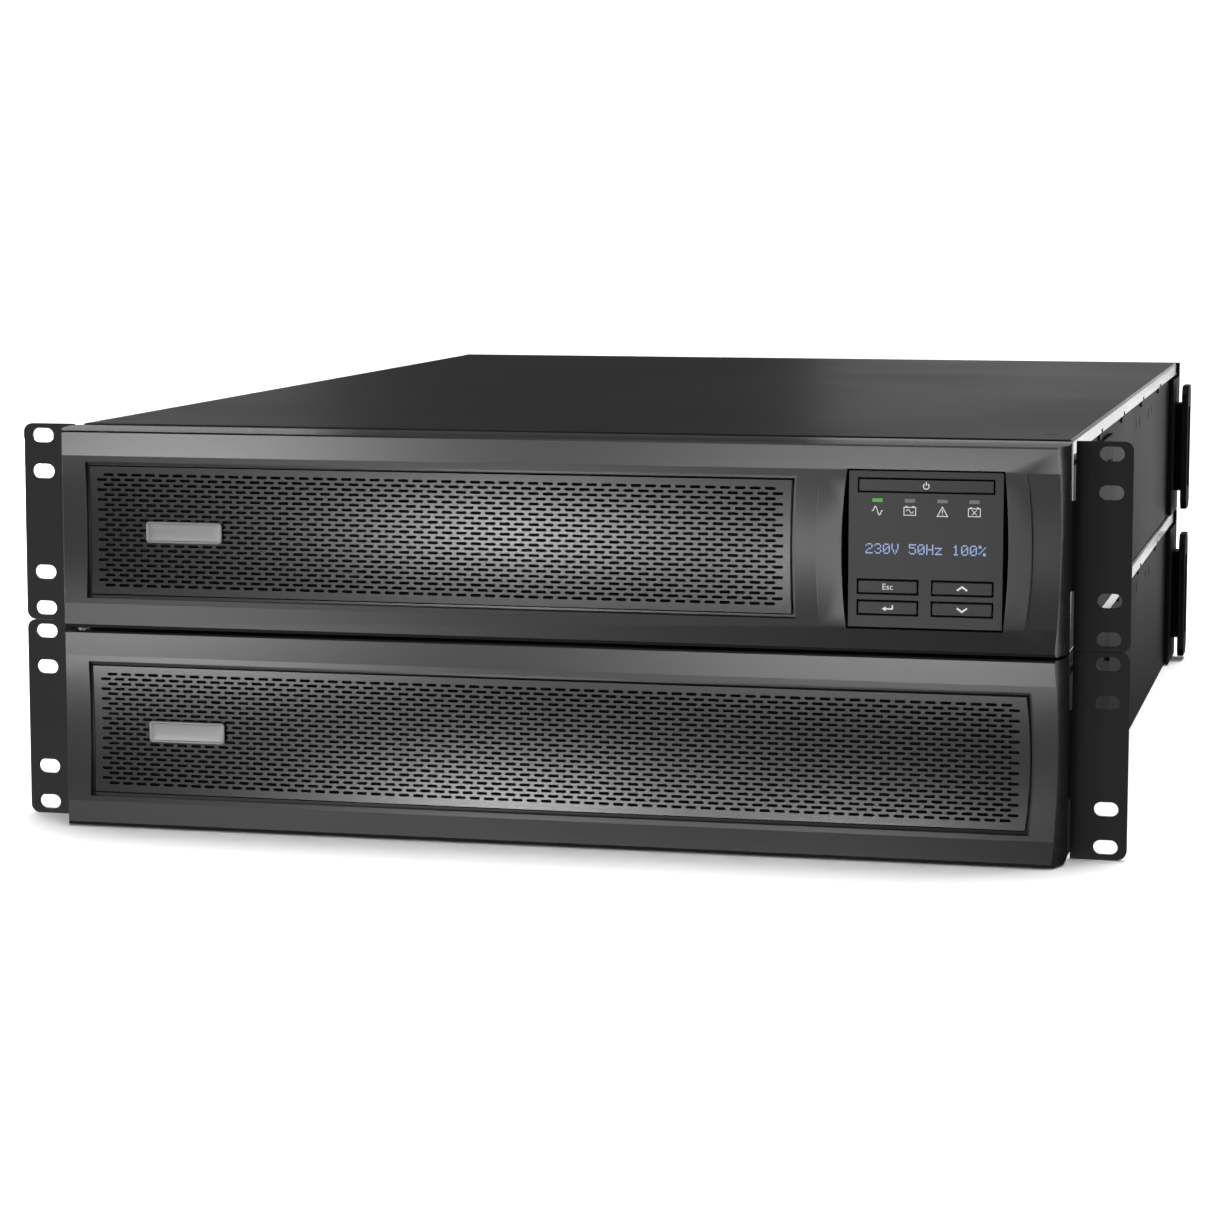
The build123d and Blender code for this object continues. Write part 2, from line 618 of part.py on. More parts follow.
def main():
    os.makedirs("parts", exist_ok=True)
    pocket = block((127.4, 192.0), (0, 8), (9.9, 75.4))
    bay_walls = [
        block((105, 105 + SHEET), (TRAY_FRONT + SHEET, 300), (SHEET, 84)),
        block((-SIDE_X + SHEET, 105 + SHEET), (300, 300 + SHEET), (SHEET, 84)),
    ]
    bay_walls += runners(BAY_UPS)
    outlet_cuts = [outlet_cut(x, z) for x, z in OUTLETS]
    split = [
        block((-0.6, 0.6), (TRAY_FRONT + SHEET, 480), (SHEET, 84)),
        block((-SIDE_X + SHEET, SIDE_X - SHEET), (480, 480 + SHEET), (SHEET, 84)),
    ]
    split += runners(BAY_L) + runners(BAY_R)
    ups_tray = tray([BAY_UPS], [pocket], bay_walls + standoffs(BOARD_Z))
    ups = {
        "chassis_ups": ups_tray,
        "cover_ups": cover(),
        "rear_plate_ups": rear_plate([*UPS_CUTS.values(), *outlet_cuts], fan_vents()),
        "ear_left_ups": ear(-1),
        "ear_right_ups": ear(1),
        "ear_screws_ups": ear_screws(),
        "rear_screws_ups": rear_screws(),
        "side_grips_ups": side_grips(),
        "bezel_ups": bezel(UPS_PANEL, True),
        "grille_ups": grille(UPS_PANEL),
        "badge_ups": badge(),
        "bezel_clips_ups": bezel_clips(),
        "pod_housing": pod_housing(),
        "pod_panel": pod_panel(),
        "pod_lcd": pod_lcd(),
        "pod_leds": [led_box(x, POD_FRONT, POD_FRONT + 8.6) for x in LED_X],
        "pod_board": pod_board(),
        "battery_tray_ups": battery_tray(BAY_UPS),
        "battery_blocks_ups": battery_blocks(BAY_UPS, 2, 3, False),
        "main_board": main_board(),
        "transformer": transformer(),
        "chokes": chokes(),
        "capacitors": capacitors(),
        "heat_sinks": heat_sinks(),
        "control_card": control_card(),
        "fan_frames": fan_frames(),
        "fan_rotor_left": fan_rotor(FAN_X[0]),
        "fan_rotor_right": fan_rotor(FAN_X[1]),
        "ac_inlet": ac_inlet(),
        "outlets": outlets(),
        "breaker_body": breaker_body(),
        "breaker_button": breaker_button(),
        "slot_cover": slot_cover(),
        "data_ports": data_ports(),
        "battery_socket_ups": battery_socket(*UPS_CUTS["socket"]),
        "rear_wings_ups": rear_wings(),
    }
    for name in KEYS:
        ups[f"key_{name}"] = key(name)
    lower = {
        "chassis_battery": tray([BAY_L, BAY_R], [], split),
        "cover_battery": cover(),
        "rear_plate_battery": rear_plate([(x, SOCKET_Z) for x in BATTERY_SOCKETS], row_vents()),
        "ear_left_battery": ear(-1),
        "ear_right_battery": ear(1),
        "ear_screws_battery": ear_screws(),
        "rear_screws_battery": rear_screws(),
        "side_grips_battery": side_grips(),
        "bezel_battery": bezel(BATTERY_PANEL, False),
        "grille_battery": grille(BATTERY_PANEL),
        "badge_battery": badge(),
        "bezel_clips_battery": bezel_clips(),
        "battery_tray_left": battery_tray(BAY_L),
        "battery_tray_right": battery_tray(BAY_R),
        "battery_blocks_left": battery_blocks(BAY_L, 2, 3, True),
        "battery_blocks_right": battery_blocks(BAY_R, 2, 3, True),
        "battery_sockets": [battery_socket(x, SOCKET_Z) for x in BATTERY_SOCKETS],
        "rear_wings_battery": rear_wings(),
    }
    for base, pieces in ((UNIT_H, ups), (0.0, lower)):
        for node, shape in pieces.items():
            if isinstance(shape, list):
                save(node, [lift(s, base) for s in shape])
            else:
                save(node, lift(shape, base))


main()
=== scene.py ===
import json
import math

import bmesh
import bpy
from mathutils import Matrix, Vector


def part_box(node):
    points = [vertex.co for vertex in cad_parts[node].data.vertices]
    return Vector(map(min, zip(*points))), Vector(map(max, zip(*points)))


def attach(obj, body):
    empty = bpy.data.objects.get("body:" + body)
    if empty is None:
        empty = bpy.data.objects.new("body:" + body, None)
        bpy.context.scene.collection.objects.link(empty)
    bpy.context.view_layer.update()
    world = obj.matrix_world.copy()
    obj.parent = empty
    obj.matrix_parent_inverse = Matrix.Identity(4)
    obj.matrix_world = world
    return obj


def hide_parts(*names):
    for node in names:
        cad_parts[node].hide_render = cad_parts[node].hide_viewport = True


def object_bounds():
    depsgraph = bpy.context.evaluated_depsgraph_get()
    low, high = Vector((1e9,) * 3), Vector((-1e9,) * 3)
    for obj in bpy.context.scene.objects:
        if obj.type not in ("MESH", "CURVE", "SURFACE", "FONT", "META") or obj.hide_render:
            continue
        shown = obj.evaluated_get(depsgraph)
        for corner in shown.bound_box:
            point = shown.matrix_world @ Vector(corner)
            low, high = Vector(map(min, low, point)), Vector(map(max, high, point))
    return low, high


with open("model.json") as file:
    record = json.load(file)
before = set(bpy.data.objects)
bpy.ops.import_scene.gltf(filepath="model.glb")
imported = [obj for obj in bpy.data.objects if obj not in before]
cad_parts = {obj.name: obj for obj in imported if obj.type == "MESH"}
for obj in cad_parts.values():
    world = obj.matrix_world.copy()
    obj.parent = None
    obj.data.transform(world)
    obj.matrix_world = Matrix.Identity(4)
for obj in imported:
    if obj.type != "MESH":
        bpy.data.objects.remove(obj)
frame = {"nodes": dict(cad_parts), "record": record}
cad_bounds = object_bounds()

MM = 0.001
EAR_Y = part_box("ear_left_ups")[0][1]  # the rack ears' front plane
UNIT_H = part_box("cover_battery")[1][2]  # one module's height
RECORD = frame["record"]
BODY_OF = {node: body for body, nodes in RECORD["behaviour"]["bodies"].items() for node in nodes}
SLOT_OF = {part["node"]: part["material_slot"] for part in RECORD["subparts"]}


def at(x, y, z, base=0.0):
    """A point given in mm from the ears' front plane and a module's underside."""
    return Vector((x * MM, EAR_Y + y * MM, base + z * MM))


# ---- node helpers for materials

def new_material(name):
    material = bpy.data.materials.new(name)
    material.use_nodes = True
    tree = material.node_tree
    tree.nodes.clear()
    out = tree.nodes.new("ShaderNodeOutputMaterial")
    shader = tree.nodes.new("ShaderNodeBsdfPrincipled")
    tree.links.new(shader.outputs[0], out.inputs["Surface"])
    return material, tree, shader


def noise(tree, scale, detail=3.0, stretch=(1, 1, 1)):
    """Noise in the frame's own metres, stretched if wanted."""
    where = tree.nodes.new("ShaderNodeTexCoord")
    place = tree.nodes.new("ShaderNodeMapping")
    place.inputs["Scale"].default_value = stretch
    tree.links.new(where.outputs["Object"], place.inputs["Vector"])
    texture = tree.nodes.new("ShaderNodeTexNoise")
    texture.inputs["Scale"].default_value = scale
    texture.inputs["Detail"].default_value = detail
    tree.links.new(place.outputs[0], texture.inputs["Vector"])
    return texture.outputs["Fac"]


def spread(tree, value, low, high, start=0.3, stop=0.7):
    """Maps a noise value onto a range."""
    node = tree.nodes.new("ShaderNodeMapRange")
    node.inputs["From Min"].default_value = start
    node.inputs["From Max"].default_value = stop
    node.inputs["To Min"].default_value = low
    node.inputs["To Max"].default_value = high
    tree.links.new(value, node.inputs["Value"])
    return node.outputs["Result"]


def mix_colours(tree, factor, first, second):
    node = tree.nodes.new("ShaderNodeMix")
    node.data_type = "RGBA"
    tree.links.new(factor, node.inputs["Factor"])
    node.inputs[6].default_value = (*first, 1)
    node.inputs[7].default_value = (*second, 1)
    return node.outputs[2]


def bump(tree, shader, height, strength, distance):
    node = tree.nodes.new("ShaderNodeBump")
    node.inputs["Strength"].default_value = strength
    node.inputs["Distance"].default_value = distance
    tree.links.new(height, node.inputs["Height"])
    tree.links.new(node.outputs[0], shader.inputs["Normal"])


def finish_of(name, dark, light, rough, metallic=0.0, grain=1400.0, relief=0.00004, strength=0.3,
              stretch=(1, 1, 1), specular=0.5, cloud=9.0):
    """A moulded or coated surface: fine grain in the bump, slow changes in colour and gloss."""
    material, tree, shader = new_material(name)
    slow = noise(tree, cloud, 4.0)
    fine = noise(tree, grain, 2.0, stretch)
    tree.links.new(mix_colours(tree, slow, dark, light), shader.inputs["Base Color"])
    tree.links.new(spread(tree, slow, rough[0], rough[1]), shader.inputs["Roughness"])
    shader.inputs["Metallic"].default_value = metallic
    shader.inputs["Specular IOR Level"].default_value = specular
    bump(tree, shader, fine, strength, relief)
    return material


def glowing(name, dark, light, glow, strength):
    """A lit diffuser or display dot, or a mark given a painted glow though it is no lamp."""
    material, tree, shader = new_material(name)
    slow = noise(tree, 700.0, 2.0)
    tree.links.new(mix_colours(tree, slow, dark, light), shader.inputs["Base Color"])
    shader.inputs["Roughness"].default_value = 0.4
    shader.inputs["Emission Color"].default_value = (*glow, 1)
    shader.inputs["Emission Strength"].default_value = strength
    return material


def grey(value, tint=1.0):
    return (value, value, value * tint)


POWDER = finish_of("powder_coat", grey(0.012), grey(0.016), (0.48, 0.54), grain=2600.0)
COVER_PAINT = finish_of("cover_satin", grey(0.010), grey(0.013), (0.38, 0.42), grain=2600.0, relief=0.00003,
                        strength=0.25, specular=0.45)
EAR_PAINT = finish_of("ear_paint", grey(0.006), grey(0.008), (0.45, 0.55), grain=2200.0, specular=0.3)
REAR_PAINT = finish_of("rear_paint", grey(0.003), grey(0.005), (0.5, 0.6), grain=2200.0, specular=0.2)
# smoother than the cover paint and about twice as light: real gloss, with painted sheen in the colour
LIP_GLOSS_AND_SHEEN = finish_of("lip_gloss_and_painted_sheen", grey(0.02), grey(0.024), (0.16, 0.2), grain=2600.0, relief=0.00001,
                      strength=0.2)
SHELL = finish_of("bezel_satin", grey(0.056), grey(0.062), (0.25, 0.26), metallic=0.6, grain=3200.0,
                  relief=0.000006, strength=0.2)
GRILLE = finish_of("grille_satin", grey(0.074), grey(0.08), (0.235, 0.24), metallic=1.0, grain=3000.0,
                   relief=0.000006, strength=0.2)
BADGE = finish_of("badge_satin", grey(0.24), grey(0.28), (0.36, 0.4), metallic=0.6, grain=900.0,
                  relief=0.00001)
POD_PLATE = finish_of("pod_plate_satin", (0.036, 0.036, 0.040), (0.042, 0.042, 0.046), (0.4, 0.45),
                      grain=2800.0, relief=0.00001)
POD_BOX = finish_of("pod_box_black", grey(0.004), grey(0.006), (0.5, 0.6), grain=1800.0)
KEY_CAP = finish_of("key_cap_satin", grey(0.026, 1.05), grey(0.034, 1.05), (0.35, 0.4), grain=2600.0,
                    relief=0.00001)
# printed signs with a slight emission: a painted glow, not a lamp
PRINT_WITH_PAINTED_GLOW = glowing("printed_signs_painted_glow", grey(0.5), grey(0.6), (1.0, 1.0, 1.0), 0.3)
# a near-black sheet set behind the grilles: painted shade
SLOT_SHADE_SHEET = finish_of("painted_slot_shade", grey(0.003), grey(0.005), (0.7, 0.8), grain=1200.0, specular=0.1)
BATTERY = finish_of("battery_case_black", grey(0.012), grey(0.02), (0.5, 0.62), grain=900.0, relief=0.0001)
ZINC = finish_of("zinc_plate", grey(0.36), grey(0.42), (0.36, 0.42), metallic=1.0, grain=700.0, cloud=160.0)
BOARD = finish_of("solder_mask", (0.006, 0.06, 0.02), (0.012, 0.1, 0.035), (0.3, 0.4), grain=700.0,
                  cloud=120.0)
CORE = finish_of("core_varnish", (0.05, 0.03, 0.02), (0.09, 0.06, 0.04), (0.4, 0.55), metallic=0.4,
                 grain=900.0, stretch=(0.1, 1, 1))
CHOKE = finish_of("choke_winding", (0.35, 0.12, 0.04), (0.5, 0.2, 0.07), (0.3, 0.4), metallic=0.7,
                   grain=1200.0)
SLEEVE = finish_of("capacitor_sleeve", (0.01, 0.02, 0.07), (0.015, 0.03, 0.1), (0.3, 0.4), grain=500.0)
SINK = finish_of("sink_extruded", grey(0.5), grey(0.65), (0.35, 0.45), metallic=1.0, grain=800.0,
                 stretch=(1, 0.05, 1))
FAN = finish_of("fan_moulded", grey(0.01), grey(0.015), (0.5, 0.6), grain=1500.0)
SOCKET = finish_of("socket_moulded", grey(0.014), grey(0.02), (0.35, 0.45), grain=1500.0)
SCREW = finish_of("screw_black_zinc", grey(0.05), grey(0.09), (0.3, 0.4), metallic=1.0, grain=1500.0,
                  cloud=200.0)
GRIP = finish_of("grip_moulded", grey(0.005), grey(0.007), (0.5, 0.6), grain=1300.0, relief=0.00006,
                 specular=0.25)
RED = finish_of("button_red", (0.35, 0.01, 0.01), (0.45, 0.015, 0.015), (0.3, 0.4), grain=900.0)
LCD = finish_of("lcd_black", (0.01, 0.01, 0.014), (0.014, 0.014, 0.02), (0.12, 0.2), grain=600.0)
# unlit light pipes with a faint emission: a painted glow
LED_OFF_FAINT_PAINTED_GLOW = glowing("led_off_faint_painted_glow", (0.16, 0.16, 0.16), (0.22, 0.22, 0.22), (1, 1, 1), 0.03)
LED_ON = glowing("led_green", (0.06, 0.3, 0.05), (0.15, 0.45, 0.12), (0.25, 1.0, 0.2), 0.12)
DOTS = glowing("display_dots", (0.3, 0.45, 0.7), (0.4, 0.5, 0.8), (0.4, 0.5, 1.0), 0.28)

LOOKS = {
    "black_steel": POWDER, "ear_steel": EAR_PAINT, "bezel_shell": SHELL, "grille_steel": GRILLE,
    "badge_metal": BADGE, "pod_plate": POD_PLATE, "pod_box": POD_BOX, "lcd": LCD, "led": LED_OFF_FAINT_PAINTED_GLOW,
    "key_cap": KEY_CAP, "board": BOARD, "battery_case": BATTERY, "cartridge_steel": ZINC, "core_steel": CORE,
    "choke_core": CHOKE, "capacitor_sleeve": SLEEVE, "sink": SINK, "fan_plastic": FAN,
    "socket_plastic": SOCKET, "screw_steel": SCREW, "grip_plastic": GRIP, "button_red": RED,
}


# ---- meshes

def add_piece(name, mesh, node, material):
    """A new piece that moves with a node's body and has its finish."""
    piece = bpy.data.objects.new(name, mesh)
    bpy.context.collection.objects.link(piece)
    mesh.materials.clear()
    mesh.materials.append(material)
    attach(piece, BODY_OF[node])
    return piece


def mesh_from(name, points, faces):
    mesh = bpy.data.meshes.new(name)
    mesh.from_pydata(points, [], faces)
    mesh.validate()
    return mesh


def cleaned(node):
    """A CAD node's shape with its triangles merged back into flat faces."""
    bm = bmesh.new()
    bm.from_mesh(frame["nodes"][node].data)
    bmesh.ops.remove_doubles(bm, verts=bm.verts, dist=2e-6)
    bmesh.ops.dissolve_limit(bm, angle_limit=math.radians(0.3), verts=bm.verts, edges=bm.edges)
    bm.verts.index_update()
    points = [v.co.copy() for v in bm.verts]
    faces = [[v.index for v in f.verts] for f in bm.faces]
    bm.free()
    return mesh_from(node + "_mesh", points, faces)


def soften(piece, width, segments=2, angle=30):
    """Rounds the sharp edges and shades across them."""
    for polygon in piece.data.polygons:
        polygon.use_smooth = True
    edge = piece.modifiers.new("edges", "BEVEL")
    edge.width = width * MM
    edge.segments = segments
    edge.limit_method = "ANGLE"
    edge.angle_limit = math.radians(angle)
    edge.harden_normals = True
    edge.use_clamp_overlap = True


def refined(node, width, material=None):
    """The node's own shape with rounded edges."""
    piece = add_piece(node + "_shell", cleaned(node), node, material or LOOKS[SLOT_OF[node]])
    soften(piece, width)
    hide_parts(node)
    return piece


def shiny_lips(piece):
    """Gives the cover's folded lips their smoother paint, in a lighter colour that is painted sheen."""
    piece.data.materials.append(LIP_GLOSS_AND_SHEEN)
    for polygon in piece.data.polygons:
        # faces turned to either side get the painted sheen
        if abs(polygon.normal.x) > 0.6:
            polygon.material_index = 1


def badge_piece(node):
    """The plain badge: a rounded plate with a raised rim and a softly crowned face."""
    lo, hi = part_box(node)
    middle_x, middle_z = (lo[0] + hi[0]) / 2, (lo[2] + hi[2]) / 2
    half_x, half_z, steps = (hi[0] - lo[0]) / 2, (hi[2] - lo[2]) / 2, 8
    # each ring: inset from the outline and depth behind the front, in mm
    rings = ((0.0, 1.0), (0.0, 0.3), (0.3, 0.0), (0.9, 0.0), (1.2, 0.3), (2.2, 0.22), (3.6, 0.16))
    points, faces, count = [], [], 4 * (steps + 1)
    for inset, depth in rings:
        radius = max(1.5 - inset, 0.4) * MM
        for corner, (sx, sz) in enumerate(((1, 1), (-1, 1), (-1, -1), (1, -1))):
            cx = middle_x + sx * (half_x - inset * MM - radius)
            cz = middle_z + sz * (half_z - inset * MM - radius)
            for i in range(steps + 1):
                a = math.radians(90 * corner + 90 * i / steps)
                points.append((cx + radius * math.cos(a), lo[1] + depth * MM, cz + radius * math.sin(a)))
    for ring in range(len(rings) - 1):
        for i in range(count):
            k, n = ring * count + i, ring * count + (i + 1) % count
            faces.append([k, n, n + count, k + count])
    faces.append(list(range((len(rings) - 1) * count, len(rings) * count)))
    mesh = mesh_from(node + "_plate", points, faces)
    for polygon in mesh.polygons:
        polygon.use_smooth = True
    mesh.set_sharp_from_angle(angle=math.radians(35))
    piece = add_piece(node + "_plate", mesh, node, BADGE)
    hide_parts(node)


# how far each node's edges are rounded, in mm
EDGES = {
    "bezel_ups": 0.4, "bezel_battery": 0.4, "ear_left_ups": 0.25, "ear_right_ups": 0.25,
    "ear_left_battery": 0.25, "ear_right_battery": 0.25, "cover_ups": 0.3, "cover_battery": 0.3,
    "rear_plate_ups": 0.3, "rear_plate_battery": 0.3, "rear_wings_ups": 0.2, "rear_wings_battery": 0.2,
    "side_grips_ups": 0.5, "side_grips_battery": 0.5, "key_power": 0.3, "key_esc": 0.3, "key_enter": 0.3,
    "key_up": 0.3, "key_down": 0.3, "pod_panel": 0.15, "pod_housing": 0.3, "ear_screws_ups": 0.5,
    "ear_screws_battery": 0.5, "rear_screws_ups": 0.5, "rear_screws_battery": 0.5, "ac_inlet": 0.4,
    "outlets": 0.4, "breaker_body": 0.4, "breaker_button": 0.5, "slot_cover": 0.2, "data_ports": 0.3,
    "battery_socket_ups": 0.4, "battery_sockets": 0.4, "battery_tray_ups": 0.3, "battery_tray_left": 0.3,
    "battery_tray_right": 0.3, "battery_blocks_ups": 0.8, "battery_blocks_left": 0.8,
    "battery_blocks_right": 0.8,
}
MATERIALS = {
    "rear_wings_ups": REAR_PAINT, "rear_wings_battery": REAR_PAINT, "cover_ups": COVER_PAINT,
    "cover_battery": COVER_PAINT,
}

# ---- grille

GRILLE_T = 0.8
GRILLE_SAG = 1.1  # the panel's middle stands this far behind its top and bottom
SLOT_L, SLOT_W = 4.65, 1.25
ROWS, ROW_PITCH, ROW_LOW = 23, 2.168, 18.9
EDGE_BEVEL = 0.5
FOLD = 2.3
SIDE_NEAR, END_NEAR = 1.5, 1.0  # how close to the outline a point is taken as being on it
SHADE_SHEET_BACK, SHADE_SHEET_T, SHADE_SHEET_STEP = 2.6, 0.6, 6.0  # the painted-shade sheet's depth behind the panel, its thickness and mesh size


class Panel:
    """A dished panel with rows of staggered slots, in mm from the ears' plane and above base, in metres."""

    def __init__(self, node, bow, base):
        lo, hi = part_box(node)
        self.left, self.low, self.high = lo[0] / MM, (lo[2] - base) / MM, (hi[2] - base) / MM
        self.right, self.bow = hi[0] / MM - max(bow, 0), bow
        self.front, self.base = (lo[1] - EAR_Y) / MM, base
        self.bm = bmesh.new()
        self.known = {}

    def share(self, z):
        return (2 * z - self.low - self.high) / (self.high - self.low)

    def right_at(self, z):
        return self.right + self.bow * (1 - self.share(z) ** 2)

    def vertex(self, x, z, back=0.0):
        """One shared vertex a spot, on the dished face or behind it."""
        key = (round(x, 4), round(z, 4), round(back, 4))
        if key not in self.known:
            y = self.front + back + GRILLE_SAG * (1 - self.share(z) ** 2)
            self.known[key] = self.bm.verts.new(at(x, y, z, self.base))
        return self.known[key]

    def face(self, spots):
        verts = []
        for x, z in spots:
            v = self.vertex(x, z)
            if v not in verts:
                verts.append(v)
        if len(verts) > 2:
            self.bm.faces.new(verts)


def slot_half(x, z, up):
    """The upper or lower half of a slot's edge, from left to right."""
    r, straight = SLOT_W / 2, (SLOT_L - SLOT_W) / 2
    points = []
    for side, turns in ((-1, (180, 135, 90)), (1, (90, 45, 0))):
        for turn in turns:
            a = math.radians(turn)
            points.append((x + side * straight + r * math.cos(a), z + (r if up else -r) * math.sin(a)))
    return points


def row_marks(centres, bounds):
    """Where the faces of a row meet its upper and lower limits."""
    marks = list(bounds)
    for x in centres:
        marks += [point[0] for point in slot_half(x, 0.0, True)[1:-1]]
    return sorted(round(m, 4) for m in marks)


def between(marks, a, b):
    return [m for m in marks if a - 1e-6 <= m <= b + 1e-6]


def slotted_row(panel, centres, z, bounds, limits):
    """A row's band of metal: faces round each slot, plain metal at both ends. limits: marks below, above."""
    low, high = z - ROW_PITCH / 2, z + ROW_PITCH / 2
    for i, x in enumerate(centres):
        a, b = round(bounds[i], 4), round(bounds[i + 1], 4)
        for up, level, marks in ((True, high, limits[1]), (False, low, limits[0])):
            edge = slot_half(x, z, up)
            steps = [a] + [round(p[0], 4) for p in edge[1:-1]] + [b]
            inner = [[(a, z), edge[0], edge[1]]] + [[edge[k], edge[k + 1]] for k in range(1, 4)]
            inner.append([edge[4], edge[5], (b, z)])
            for k in range(5):
                outer = [(m, level) for m in between(marks, steps[k], steps[k + 1])]
                panel.face(outer + inner[k][::-1])
    left = panel.left + EDGE_BEVEL
    for z0, z1, marks0, marks1 in ((low, z, limits[0], [bounds[0]]), (z, high, [bounds[0]], limits[1])):
        under = [(left, z0)] + [(m, z0) for m in between(marks0, left, bounds[0])]
        over = [(left, z1)] + [(m, z1) for m in between(marks1, left, bounds[0])]
        panel.face(under + over[::-1])
    for z0, z1, marks0, marks1 in ((low, z, limits[0], [bounds[-1]]), (z, high, [bounds[-1]], limits[1])):
        ends = [panel.right_at(level) - EDGE_BEVEL for level in (z0, z1)]
        under = [(m, z0) for m in between(marks0, bounds[-1], ends[0])] + [(ends[0], z0)]
        over = [(m, z1) for m in between(marks1, bounds[-1], ends[1])] + [(ends[1], z1)]
        panel.face(under + over[::-1])


def perforated(node, bow, columns, first, pitch, base):
    """The pierced panel: a dished sheet with staggered slots, a bevelled edge and a fold behind it."""
    panel = Panel(node, bow, base)
    rows = []
    for row in range(ROWS):
        wide = row % 2 == 1
        start = first - (pitch / 2 if wide else 0)
        centres = [start + i * pitch for i in range(columns + wide)]
        rows.append((centres, [round(start + (i - 0.5) * pitch, 4) for i in range(columns + wide + 1)]))
    marks = [row_marks(*row) for row in rows]
    for row, (centres, bounds) in enumerate(rows):
        below = sorted(set(marks[row] + (marks[row - 1] if row else [])))
        above = sorted(set(marks[row] + (marks[row + 1] if row + 1 < ROWS else [])))
        slotted_row(panel, centres, ROW_LOW + row * ROW_PITCH, bounds, (below, above))
    bm = panel.bm
    levels = sorted({round(k[1], 4) for k in panel.known})
    margins = []
    for edge, near in ((panel.low, levels[0]), (panel.high, levels[-1])):
        inset = edge + math.copysign(EDGE_BEVEL, near - edge)
        margins.append([inset + (near - inset) * i / 3 for i in range(4)])
    for margin, near in zip(margins, (levels[0], levels[-1])):
        across = sorted({k[0] for k in panel.known if k[1] == near and k[2] == 0})
        across[-1] = None
        for z0, z1 in zip(margin, margin[1:]):
            for x0, x1 in zip(across, across[1:]):
                right = [panel.right_at(z) - EDGE_BEVEL if x1 is None else x1 for z in (z0, z1)]
                panel.face([(x0, z0), (right[0], z0), (right[1], z1), (x0, z1)])
    bmesh.ops.remove_doubles(bm, verts=bm.verts, dist=2e-6)
    bmesh.ops.recalc_face_normals(bm, faces=bm.faces)
    rim = [e for e in bm.edges if e.is_boundary and outside(panel, e)]
    fold(panel, rim)
    mesh = bpy.data.meshes.new(node + "_pierced")
    bm.to_mesh(mesh)
    bm.free()
    piece = add_piece(node + "_pierced", mesh, node, GRILLE)
    thick = piece.modifiers.new("sheet", "SOLIDIFY")
    thick.thickness = GRILLE_T * MM
    thick.offset = -1
    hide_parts(node)
    shade_sheet_behind(node, panel)


def outside(panel, edge):
    """Whether an open edge is on the panel's outer outline, and not round a slot."""
    for v in edge.verts:
        x, z = v.co.x / MM, (v.co.z - panel.base) / MM
        near_side = x < panel.left + SIDE_NEAR or x > panel.right_at(z) - SIDE_NEAR
        near_end = z < panel.low + SIDE_NEAR or z > panel.high - SIDE_NEAR
        if not (near_side or near_end):
            return False
    return True


def fold(panel, rim):
    """Carries the outline round a small bevel and back along the fold."""
    bm = panel.bm
    for out, back in ((EDGE_BEVEL, EDGE_BEVEL), (0.0, FOLD)):
        made = bmesh.ops.extrude_edge_only(bm, edges=rim)["geom"]
        rim = [g for g in made if isinstance(g, bmesh.types.BMEdge) and g.is_boundary and outside(panel, g)]
        for v in {v for e in rim for v in e.verts}:
            x, z = v.co.x / MM, (v.co.z - panel.base) / MM
            if x < panel.left + SIDE_NEAR:
                x = panel.left if out else x
            elif x > panel.right_at(z) - SIDE_NEAR:
                x = panel.right_at(z) if out else x
            if z < panel.low + END_NEAR:
                z = panel.low if out else z
            elif z > panel.high - END_NEAR:
                z = panel.high if out else z
            v.co.x, v.co.z = x * MM, z * MM + panel.base
            v.co.y += back * MM
    bmesh.ops.recalc_face_normals(bm, faces=bm.faces)


def shade_sheet_behind(node, panel):
    """A dark sheet behind the slots: painted shade for the dark inside the unit."""
    y = panel.front + SHADE_SHEET_BACK
    x0, x1 = panel.left + 2.0, panel.right - 2.0
    low, high = panel.low + 3.0, panel.high - 2.2
    wide, tall = int((x1 - x0) / SHADE_SHEET_STEP), int((high - low) / SHADE_SHEET_STEP)
    points, faces = [], []
    for j in range(tall + 1):
        for i in range(wide + 1):
            wave = 0.12 * math.sin(i * 1.7) * math.sin(j * 2.1)
            points.append(at(x0 + (x1 - x0) * i / wide, y + wave, low + (high - low) * j / tall, panel.base))
    for j in range(tall):
        for i in range(wide):
            k = j * (wide + 1) + i
            faces.append([k, k + 1, k + wide + 2, k + wide + 1])
    sheet = add_piece(node + "_painted_shade", mesh_from(node + "_painted_shade", points, faces), node, SLOT_SHADE_SHEET)
    thick = sheet.modifiers.new("shade_depth", "SOLIDIFY")
    thick.thickness = SHADE_SHEET_T * MM
    thick.offset = 1


# ---- printed signs and the display

def ribbon(points, width, closed=False):
    """A flat stroke in X-Z along some points, with mitred corners: a list of quads."""
    count = len(points)
    sides = []
    for i, p in enumerate(points):
        before = points[i - 1] if i or closed else None
        after = points[(i + 1) % count] if i < count - 1 or closed else None
        ways = []
        if before is not None:
            ways.append((Vector(p) - Vector(before)).normalized())
        if after is not None:
            ways.append((Vector(after) - Vector(p)).normalized())
        normals = [Vector((-w.y, w.x)) for w in ways]
        mean = sum(normals, Vector((0, 0))).normalized()
        reach = width / 2 / max(mean.dot(normals[0]), 0.35)
        sides.append((Vector(p) + mean * reach, Vector(p) - mean * reach))
    pairs = list(zip(sides, sides[1:] + sides[:1])) if closed else list(zip(sides, sides[1:]))
    return [[a[0], a[1], b[1], b[0]] for a, b in pairs]


def arc(x, z, r, start, stop, steps=24):
    spots = [math.radians(start + (stop - start) * i / steps) for i in range(steps + 1)]
    return [(x + r * math.cos(a), z + r * math.sin(a)) for a in spots]


